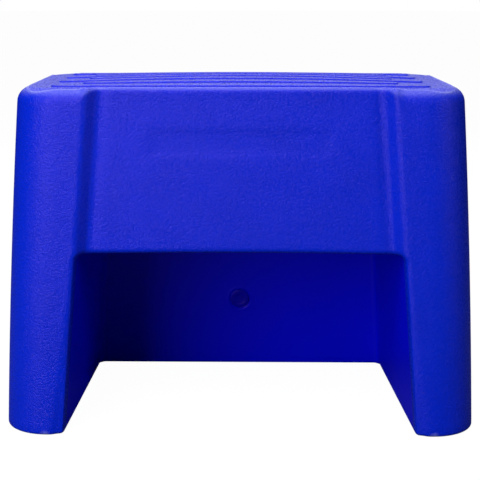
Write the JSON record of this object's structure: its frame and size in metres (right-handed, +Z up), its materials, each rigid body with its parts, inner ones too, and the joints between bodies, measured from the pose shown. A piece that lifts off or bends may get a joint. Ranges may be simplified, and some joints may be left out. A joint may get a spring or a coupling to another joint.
{
  "type": "mounting block",
  "caption": "Hollow moulded one-step block with leaning sides, a ribbed non-slip tread and a cave below it, for stepping up beside a horse.",
  "frame": {"origin": "middle of the footprint, on the floor", "axes": "+X to the block's right along its length, +Y to its back, +Z up; the cave opens towards -Y"},
  "size_m": [0.5546, 0.3076, 0.4072],
  "materials": {
    "moulded_blue": "satin moulded polyethylene with a fine speckled texture",
    "moulded_blue_inside": "smoother satin moulded polyethylene",
    "plug_blue": "smooth injection-moulded polyethylene"
  },
  "bodies": {
    "root": {"outer_shell": "moulded_blue", "cave_liner": "moulded_blue_inside", "vent_plug": "plug_blue"}
  },
  "joints": []
}
